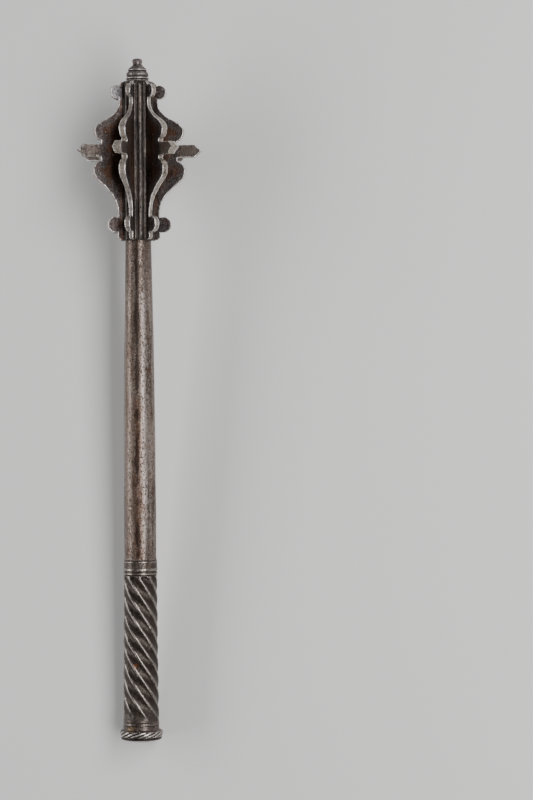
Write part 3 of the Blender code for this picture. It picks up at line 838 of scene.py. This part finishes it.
def notch(start):
    """A round hollow cut in towards the axis, from its lower corner up."""
    deepest = start[0] - NOTCH_DEPTH / 0.75
    bends = [(deepest, start[1] + share * NOTCH_WIDTH) for share in (0.1, 0.9)]
    return bezier(start, *bends, (start[0], start[1] + NOTCH_WIDTH), 16)


def lower_outline():
    """Points from the foot of the root, round the lower disc and lobe, to the spike."""
    foot = [
        (HEAD_INNER_RADIUS, 0),
        (FOOT_RADIUS - 2.6 * FOOT_CHAMFER, 0.3 * FOOT_SLOPE),
        (FOOT_RADIUS - 2.5 * FOOT_CHAMFER, FOOT_SLOPE),
        (FOOT_RADIUS - 0.5 * FOOT_CHAMFER, 1.1 * FOOT_SLOPE),
        (FOOT_RADIUS, FOOT_SLOPE + 0.6 * FOOT_CHAMFER),
    ]
    disc = (LOWER_DISC_REACH - LOWER_DISC_RADIUS, LOWER_DISC_HEIGHT)
    waist = (WAIST_RADIUS, WAIST_HEIGHT)
    lobe = (LOWER_LOBE_REACH, SPIKE_HEIGHT - LOWER_LOBE_DROP)
    spread, swing = lobe[0] - waist[0], lobe[1] - waist[1]

    def between(out, up):
        return (waist[0] + out * spread, waist[1] + up * swing)

    end = (NOTCH_MOUTH, SPIKE_LOW - NOTCH_WIDTH)
    rise = end[1] - lobe[1]
    curl_in = (end[0] + 0.55 * (lobe[0] - end[0]), end[1] - 0.1 * rise)
    return np.vstack([
        foot,
        disc_arc(disc, LOWER_DISC_RADIUS, FOOT_RADIUS, WAIST_RADIUS),
        [waist],
        bezier(waist, between(0.06, 0.3), between(0.28, 0.45), between(0.6, 0.64), 40),
        bezier(between(0.6, 0.64), between(0.82, 0.74), between(1, 0.84), lobe, 30),
        bezier(lobe, (lobe[0], lobe[1] + 0.5 * rise), curl_in, end, 30),
        notch(end),
    ])


def upper_outline():
    """Points from the spike, round the upper lobe and disc, to the top of the root."""
    disc = (UPPER_DISC_REACH - UPPER_DISC_RADIUS, HEAD_LENGTH - UPPER_DISC_DROP)
    neck_top = disc[1] - math.sqrt(UPPER_DISC_RADIUS**2 - (disc[0] - NECK_RADIUS) ** 2)
    start = (NOTCH_MOUTH, SPIKE_HIGH + NOTCH_WIDTH)
    lobe = (UPPER_LOBE_REACH, SPIKE_HEIGHT + UPPER_LOBE_RISE)
    rise = lobe[1] - start[1]
    curl_out = (start[0] + 0.5 * (lobe[0] - start[0]), start[1] + 0.1 * rise)
    spread, swing = lobe[0] - NECK_RADIUS, neck_top - NECK_LENGTH - lobe[1]

    def between(out, up):
        return (NECK_RADIUS + out * spread, lobe[1] + up * swing)

    arc = disc_arc(disc, UPPER_DISC_RADIUS, NECK_RADIUS, SHOULDER_RADIUS)
    bulge = (SHOULDER_RADIUS, arc[-1][1] + 0.4 * (HEAD_LENGTH - arc[-1][1]))
    bulge_in = (FLANGE_TOP_RADIUS + 0.4 * (SHOULDER_RADIUS - FLANGE_TOP_RADIUS), HEAD_LENGTH)
    return np.vstack([
        notch((NOTCH_MOUTH, SPIKE_HIGH)),
        bezier(start, curl_out, (lobe[0], lobe[1] - 0.5 * rise), lobe, 30),
        bezier(lobe, between(1, 0.17), between(0.77, 0.3), between(0.52, 0.42), 30),
        bezier(between(0.52, 0.42), between(0.27, 0.54), between(0, 0.74), between(0, 1), 40),
        arc,
        bezier(arc[-1], bulge, bulge_in, (FLANGE_TOP_RADIUS, HEAD_LENGTH), 16),
        [(HEAD_INNER_RADIUS, HEAD_LENGTH)],
    ])


def flange_outline():
    """(radius, height) points round a flange, from the foot of its root outwards and up."""
    spike = [(SPIKE_SHOULDER, SPIKE_LOW), (SPIKE_REACH, SPIKE_HEIGHT), (SPIKE_SHOULDER, SPIKE_HIGH)]
    return np.vstack([lower_outline(), spike, [(NOTCH_MOUTH, SPIKE_HIGH)], upper_outline()])


def evenly_spaced(outline, spacing):
    """The outline again, with evenly spaced points on each stretch between its corners."""
    ahead = np.roll(outline, -1, 0) - outline
    heading = np.arctan2(ahead[:, 1], ahead[:, 0])
    bend = turned_from(heading, np.roll(heading, 1))
    corners = [*np.flatnonzero(bend > math.radians(20)), len(outline)]
    looped = np.vstack([outline, outline[:1]])
    points = []
    for first, last in zip(corners, corners[1:]):
        stretch = looped[first:last + 1]
        length = np.concatenate([[0], np.cumsum(np.hypot(*np.diff(stretch, axis=0).T))])
        steps = np.linspace(0, length[-1], max(1, round(length[-1] / spacing)) + 1)[:-1]
        points.append(np.stack([np.interp(steps, length, stretch[:, side]) for side in (0, 1)], -1))
    return np.vstack(points)


def edge_distance(points, outline):
    """Distance from each point to the outline."""
    spans = np.roll(outline, -1, 0) - outline
    nearest = []
    for chunk in np.array_split(points, 1 + len(points) // 500):
        offset = chunk[:, None] - outline
        share = np.clip((offset * spans).sum(2) / (spans**2).sum(1), 0, 1)
        nearest.append(np.linalg.norm(offset - share[..., None] * spans, axis=2).min(1))
    return np.concatenate(nearest)


def is_inside(points, outline):
    """Whether each point is inside the outline: a line from it leaves by an odd number of crossings."""
    x, y = points[:, :1], points[:, 1:]
    x0, y0 = outline.T
    x1, y1 = np.roll(outline, -1, 0).T
    level = np.where(y1 == y0, 1, y1 - y0)
    crossed = ((y0 > y) != (y1 > y)) & (x < (x1 - x0) * (y - y0) / level + x0)
    return crossed.sum(1) % 2 == 1


def inward_of(outline):
    """The direction into the flange at each point of its outline, longer at corners."""
    before = outline - np.roll(outline, 1, 0)
    after = np.roll(outline, -1, 0) - outline
    normals = []
    for side in (before, after):
        side = side / np.linalg.norm(side, axis=1, keepdims=True)
        normals.append(np.stack([-side[:, 1], side[:, 0]], -1))
    middle = normals[0] + normals[1]
    middle /= np.linalg.norm(middle, axis=1, keepdims=True)
    stretch = 1 / np.maximum((middle * normals[0]).sum(1), 0.62)
    return middle * stretch[:, None]


# The flanges


def flange_sheet():
    """A flange's face as a flat net: its points, triangles, distances to the edge, and edge points."""
    outline = evenly_spaced(flange_outline(), EDGE_SPACING)
    inward = inward_of(outline)
    inner = []
    for share in BEVEL_STEPS:
        ring = outline + inward * share * ARRIS_RADIUS
        inner.append(ring[edge_distance(ring, outline) > 0.7 * share * ARRIS_RADIUS])
    for depth in INNER_RINGS:
        ring = (outline + inward * depth)[::2]
        inner.append(ring[edge_distance(ring, outline) > 0.8 * depth])
    low, high = outline.min(0), outline.max(0)
    across = np.arange(low[0], high[0], FACE_SPACING)
    up = np.arange(low[1], high[1], FACE_SPACING * math.sqrt(3) / 2)
    grid = np.stack(np.meshgrid(across, up), -1)
    grid[1::2, :, 0] += FACE_SPACING / 2
    grid = grid.reshape(-1, 2)
    grid = grid[is_inside(grid, outline)]
    inner.append(grid[edge_distance(grid, outline) > FACE_MARGIN])

    points = [Vector(point) for point in np.vstack([outline, *inner])]
    rim = list(range(len(outline)))
    edges = list(zip(rim, rim[1:] + rim[:1]))
    corners, _, triangles, origins, *_ = delaunay_2d_cdt(points, edges, [], 1, MERGE_DISTANCE, True)
    corners = np.array([tuple(corner) for corner in corners])
    made_from = {first[0]: index for index, first in enumerate(origins) if first}
    rim = np.array([made_from[index] for index in rim])
    distance = edge_distance(corners, outline)
    distance[rim] = 0
    triangles = np.array(triangles)
    triangles = triangles[is_inside(corners[triangles].mean(1), outline)]
    return corners, triangles, distance, rim


def flange_faces(sheet):
    """Faces of both sides of a flange and of the wall between them."""
    corners, triangles, _, rim = sheet
    count = len(corners)
    rows = [rim, *(2 * count + numbered(WALL_ROWS, len(rim))), rim + count]
    wall = [
        np.stack([low, high, np.roll(high, -1), np.roll(low, -1)], -1) for low, high in zip(rows, rows[1:])
    ]
    return triangles.tolist() + (triangles[:, ::-1] + count).tolist() + np.vstack(wall).tolist()


def flange_direction(index):
    """Angle of a flange about Z. The first points to -Y, which is up once the mace lies down."""
    even = 2 * math.pi * index / FLANGES - math.pi / 2
    return even + FLANGE_OFFSETS[index % FLANGES]


def flange_thickness(radius):
    """A flange grows thicker from its root to the end of its spike."""
    share = (radius - HEAD_INNER_RADIUS) / (SPIKE_REACH - HEAD_INNER_RADIUS)
    return FLANGE_ROOT_THICKNESS + (FLANGE_TIP_THICKNESS - FLANGE_ROOT_THICKNESS) * share


def flange_points(sheet, number):
    """Both faces of a flange and the wall between them, as (out, across, up)."""
    corners, _, distance, rim = sheet
    apart = np.insert(corners, 1, (number - 1) * 0.1, axis=1)
    arris = ARRIS_RADIUS * (1 + 0.55 * ripple(apart, 0.007, 41))
    drop = arris * (1 - np.sqrt(1 - (1 - np.clip(distance / arris, 0, 1)) ** 2))
    half = flange_thickness(corners[:, 0]) / 2 - drop
    faces = []
    for side in (-1, 1):
        waviness = 0.00007 * ripple(apart + (0, side, 0), 0.011, 42)
        waviness += 0.00003 * ripple(apart + (0, side, 0), 0.0035, 43)
        faces.append(np.stack([corners[:, 0], side * (half + waviness), corners[:, 1]], -1))
    low, high = faces[0][rim], faces[1][rim]
    wall = np.concatenate([low + (high - low) * share for share in wall_shares()])
    return np.vstack([*faces, wall])


def wall_shares():
    """Where the rows of points on a flange's wall are, from one face to the other."""
    return np.linspace(0, 1, WALL_ROWS + 2)[1:-1]


def flange_marks(sheet, points, number):
    """Where a flange is worn, a wall, brushed grey, part of the spike, or on the upper disc."""
    corners, _, distance, rim = sheet
    flat = np.clip(1 - distance / WORN_REACH, 0, 1) ** 0.8
    from_middle = np.abs(2 * np.repeat(wall_shares(), len(rim)) - 1)
    wall = np.ones(len(from_middle))
    on_edge = (distance == 0).astype(float)
    brushed = np.clip(1 - distance / BRUSHED_REACH, 0, 1) * np.clip((corners[:, 0] - 0.012) / 0.008, 0, 1)
    marks = {
        "worn": np.concatenate([flat, flat, 0.35 + 0.65 * from_middle**3]),
        "side": np.concatenate([on_edge, on_edge, wall]),
        "brushed": np.concatenate([brushed, brushed, wall]),
    }
    radius, _, height = points.T
    beside_spike = np.abs(height - SPIKE_HEIGHT) - SPIKE_WIDTH / 2
    along = np.clip((radius - NOTCH_RADIUS + 0.004) / 0.010, 0, 1)
    marks["spike"] = 0.85 * along * np.clip(1 - beside_spike / 0.002, 0, 1)
    if number in BRIGHT_SPIKES:
        marks["spike"] *= 1 - marks["side"]
    out = radius - UPPER_DISC_REACH + UPPER_DISC_RADIUS
    up = height - HEAD_LENGTH + UPPER_DISC_DROP
    on_disc = np.clip(1.6 - np.hypot(out, up) / UPPER_DISC_RADIUS, 0, 1)
    marks["disc"] = on_disc * (1 if number == BRIGHT_DISC else 0.25)
    return marks


def wear_spike(points, number, draw):
    """The blows that a flange's spike has taken, worked into its points."""
    past_shoulder = np.clip((points[:, 0] - SPIKE_SHOULDER + 0.0025) / 0.0055, 0, 1)
    if number == MUSHROOMED:
        points[:, 1] *= 1 + 0.12 * past_shoulder**1.5
        points[:, 0] -= MUSHROOM_BLOW * past_shoulder**4
    elif number == CHIPPED:
        low = np.clip((SPIKE_HEIGHT - points[:, 2]) / 0.004, 0, 1)
        points[:, 0] -= CHIP_BLOW * past_shoulder**2 * low
        points[:, 1] *= 1 + 0.12 * past_shoulder
    elif number == BLUNTED:
        points[:, 0] -= BLUNT_BLOW * past_shoulder**4
        points[:, 1] *= 1 + 0.06 * past_shoulder
    else:
        points[:, 0] -= draw.uniform(*LESSER_BLOWS) * past_shoulder**4
        points[:, 1] *= 1 + draw.uniform(*LESSER_SPREAD) * past_shoulder
    lumps = ripple(points + (0, number, 0), 0.004, 59)
    points[:, 0] += SPIKE_LUMPS * past_shoulder * lumps
    points[:, 0] = np.minimum(points[:, 0], SPIKE_REACH - SPIKE_MARGIN)


def wear_flange(points, number):
    """Works wavers, nicks and blows into a flange's points. Returns where the nicks are bare."""
    draw = np.random.default_rng(50 + number)
    apart = points + (0, number * 0.1, 0)
    outer = np.clip((points[:, 0] - HEAD_INNER_RADIUS) / 0.004, 0, 1)
    for side, seed in ((0, 51), (2, 52)):
        shift = 0.00013 * ripple(apart, 0.009, seed) + 0.00006 * ripple(apart, 0.0028, seed + 5)
        points[:, side] += outer * shift
    points[:, 1] += 0.00010 * outer * ripple(apart, 0.045, 58)

    bare = np.zeros(len(points))
    walls = np.flatnonzero(np.abs(np.abs(points[:, 1]) - flange_thickness(points[:, 0]) / 2) < 0.0007)
    walls = walls[points[walls, 0] > NICKED_FROM]
    for place in draw.choice(walls, NICKS):
        reach = draw.uniform(*NICK_REACH)
        near = np.clip(1 - np.linalg.norm(points - points[place], axis=1) / reach, 0, 1) ** 1.5
        depth = reach * draw.uniform(*NICK_DEPTH_SHARE)
        points[:, 1] -= near * depth * np.sign(points[place, 1])
        bare = np.maximum(bare, near)
    wear_spike(points, number, draw)
    return bare


def make_flanges():
    material = flange_iron()
    sheet = flange_sheet()
    faces = flange_faces(sheet)
    for index in range(FLANGES):
        number = index + 1
        points = flange_points(sheet, number)
        marks = flange_marks(sheet, points, number)
        bare = wear_flange(points, number)
        marks["worn"] = np.maximum(marks["worn"], bare)
        turn = Matrix.Rotation(flange_direction(index), 3, "Z")
        points = points @ np.array(turn).T + (0, 0, HEAD_FOOT)
        add_piece(f"flange_plate_{number}", f"flange_{number}", "flange", points, faces, material, **marks)


# The strips between the flanges


def strip_side(radius, sector):
    """How far a strip reaches across, to a gap beside the flange, at a distance out from the axis."""
    ledge = HEAD_INNER_RADIUS + STRIP_THICKNESS + STRIP_FILLET_RISE
    beside = flange_thickness(ledge) / 2 + FIT_GAP
    return radius * math.tan(sector) - beside / math.cos(sector)


def strip_section(sector):
    """Half of a strip's section from its crest to its side: distance out, distance across, and wear."""
    floor = HEAD_INNER_RADIUS + STRIP_THICKNESS
    ledge = floor + STRIP_FILLET_RISE
    beside = flange_thickness(ledge) / 2 + FIT_GAP
    ledge_edge = strip_side(ledge, sector)
    rib_edge = RIB_WIDTH / 2
    groove_edge = rib_edge + STRIP_GROOVE_WIDTH
    sunk = floor - STRIP_GROOVE_SINK
    section = []
    for degrees in range(0, 90, 9):
        turn = math.radians(degrees)
        section.append((floor + RIB_RISE * math.cos(turn) ** RIB_FLATNESS, rib_edge * math.sin(turn), 0.38))
    section += [
        (floor, rib_edge, -0.3),
        (sunk, rib_edge + 0.3 * STRIP_GROOVE_WIDTH, -0.35),
        (sunk, rib_edge + 0.7 * STRIP_GROOVE_WIDTH, -0.35),
        (floor + 0.0001, groove_edge, -0.2),
    ]
    section += [(ledge - drop, groove_edge + out, wear) for drop, out, wear in LEDGE_SECTION]
    last_bend = groove_edge + LEDGE_SECTION[-1][1]
    section += [(ledge - 0.0001, 0.5 * (last_bend + ledge_edge), -0.25), (ledge, ledge_edge, -0.3)]
    corner = sector - math.asin(beside / HEAD_INNER_RADIUS)
    for share in (1, 0.75, 0.5, 0.25):
        turn = corner * share
        section.append((HEAD_INNER_RADIUS * math.cos(turn), HEAD_INNER_RADIUS * math.sin(turn), 0))
    return section


def strip_rings(sector):
    """Rings of a strip from its foot up, as (out, across, up), and the wear round its section."""
    half = strip_section(sector)
    section = np.array(half + [(HEAD_INNER_RADIUS, 0, 0)] + [(out, -y, wear) for out, y, wear in half[:0:-1]])
    crest = HEAD_INNER_RADIUS + STRIP_THICKNESS + RIB_RISE
    straight = np.linspace(0, HEAD_LENGTH - STRIP_TOP_DROP, STRIP_ROWS)
    rounds = np.radians(np.linspace(0, 90, 14)[1:])
    heights = np.concatenate([straight, HEAD_LENGTH - STRIP_TOP_DROP * (1 - np.sin(rounds))])
    widest = np.concatenate([np.full(STRIP_ROWS, crest), crest - STRIP_TOP_ROUND * (1 - np.cos(rounds))])
    out = np.minimum(section[:, 0], widest[:, None])
    reach = np.maximum(strip_side(out, sector), 0)
    across = np.clip(section[:, 1], -reach, reach)
    return np.stack(np.broadcast_arrays(out, across, heights[:, None]), -1), section[:, 2]


def make_strips():
    material = strip_iron()
    for index in range(FLANGES):
        start = flange_direction(index)
        sector = (flange_direction((index + 1) % FLANGES) - start) % (2 * math.pi) / 2
        rings, wear = strip_rings(sector)
        apart = rings + (0, index * 0.1, 0)
        outer = np.clip((rings[..., 0] - HEAD_INNER_RADIUS - 0.0012) / 0.001, 0, 1)
        rings[..., 0] += outer * (0.00007 * ripple(apart, 0.006, 61) + 0.00008 * ripple(apart, 0.020, 62))
        worn = wear + 0.25 * ripple(apart * (1, 1, 0.3), 0.006, 63)
        turn = Matrix.Rotation(start + sector, 3, "Z")
        points = rings.reshape(-1, 3) @ np.array(turn).T + (0, 0, HEAD_FOOT)
        grid = numbered(*worn.shape)
        faces = ring_faces(grid) + [grid[0, ::-1].tolist(), grid[-1].tolist()]
        name = f"moulded_strip_{index + 1}"
        node = f"rib_strip_{index + 1}"
        add_piece(name, node, "rib_strip", points, faces, material, worn=worn.reshape(-1))


# The stage


def add_floor():
    mesh = bpy.data.meshes.new("floor")
    corners = [(x * FLOOR_HALF_SIDE, y * FLOOR_HALF_SIDE, 0) for x, y in ((-1, -1), (1, -1), (1, 1), (-1, 1))]
    mesh.from_pydata(corners, [], [(0, 1, 2, 3)])
    material = bpy.data.materials.new("floor_paper")
    material.use_nodes = True
    surface = material.node_tree.nodes["Principled BSDF"]
    surface.inputs["Base Color"].default_value = FLOOR_COLOUR
    surface.inputs["Roughness"].default_value = FLOOR_ROUGHNESS
    mesh.materials.append(material)
    floor = add_object("floor", mesh)


def add_softbox(name, lean, power):
    """A long soft light beside the mace, leaning that far to the right of straight up."""
    light = bpy.data.lights.new(name, "AREA")
    light.shape = "RECTANGLE"
    light.size = SOFTBOX_WIDTH
    light.size_y = SOFTBOX_LENGTH
    light.energy = power
    lamp = add_object(name, light)
    target = MACE @ Vector((0, 0, LIT_HEIGHT))
    lamp.location = target + SOFTBOX_DISTANCE * Vector((math.sin(lean), 0, math.cos(lean)))
    lamp.rotation_euler = (0, lean, 0)


def add_lights():
    add_softbox("left_softbox", *LEFT_SOFTBOX)
    add_softbox("right_softbox", *RIGHT_SOFTBOX)
    world = bpy.data.worlds.new("studio")
    world.use_nodes = True
    background = world.node_tree.nodes["Background"]
    background.inputs["Color"].default_value = SKY_COLOUR
    background.inputs["Strength"].default_value = SKY_STRENGTH
    bpy.context.scene.world = world


def add_camera():
    """Looks down on the mace from beside it, as the photograph's camera did, with the mace on the left."""
    turned = MACE.to_3x3()
    away = turned @ Vector((math.sin(CAMERA_SIDE), -math.cos(CAMERA_SIDE), 0))
    up = turned @ Vector((0, 0, 1))
    aim = MACE @ Vector((0, 0, AIM_HEIGHT))
    focal_pixels = LENS / SENSOR * PHOTO_HEIGHT
    yaw = math.atan(PIXELS_RIGHT_OF_MACE / focal_pixels)
    forward = -away
    right = forward.cross(up)
    looking = forward * math.cos(yaw) + right * math.sin(yaw)
    right = looking.cross(up)
    top = up * math.cos(CAMERA_ROLL) + right * math.sin(CAMERA_ROLL)
    right = looking.cross(top)
    data = bpy.data.cameras.new("camera")
    data.lens = LENS
    data.sensor_width = SENSOR
    camera = add_object("camera", data)
    axes = Matrix((right, top, -looking)).transposed().to_4x4()
    camera.matrix_world = Matrix.Translation(aim + away * CAMERA_DISTANCE) @ axes
    bpy.context.scene.camera = camera


def main():
    add_camera()
    add_lights()
    add_floor()
    make_base_cap()
    make_haft()
    make_flanges()
    make_strips()
    make_finial()


main()
